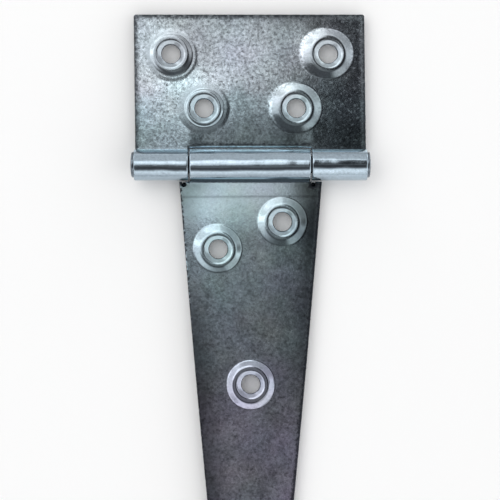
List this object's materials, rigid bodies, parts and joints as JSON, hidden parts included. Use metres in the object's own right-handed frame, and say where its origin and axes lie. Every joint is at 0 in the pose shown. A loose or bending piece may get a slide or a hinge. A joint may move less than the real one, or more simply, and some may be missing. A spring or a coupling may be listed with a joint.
{
  "type": "t hinge",
  "caption": "T hinge in bright zinc-plated sheet steel: a short wide flap leaf and a long tapered strap leaf with raised countersunk screw holes, rolled round one riveted pin.",
  "frame": {"origin": "on the back mounting plane, straight under the pin's axis at its mid length", "axes": "+X along the pin, +Y towards the flap's free edge, so the strap's tip points to -Y, and +Z out of the front face"},
  "size_m": [0.056, 0.1353, 0.0073],
  "materials": {
    "leaf_zinc": "bright zinc plate over pressed sheet steel, fine mottled grain, satin",
    "pin_zinc": "bright zinc plate over drawn wire, satin, hammered at the riveted heads"
  },
  "bodies": {
    "flap": {"flap_leaf": "leaf_zinc", "hinge_pin": "pin_zinc"},
    "strap": {"strap_leaf": "leaf_zinc"}
  },
  "joints": [
    {"name": "strap_swing", "type": "hinge", "parent": "flap", "child": "strap", "pos_m": [0, 0, 0.00365], "axis": [-1, 0, 0], "range_deg": [0, 180]}
  ]
}
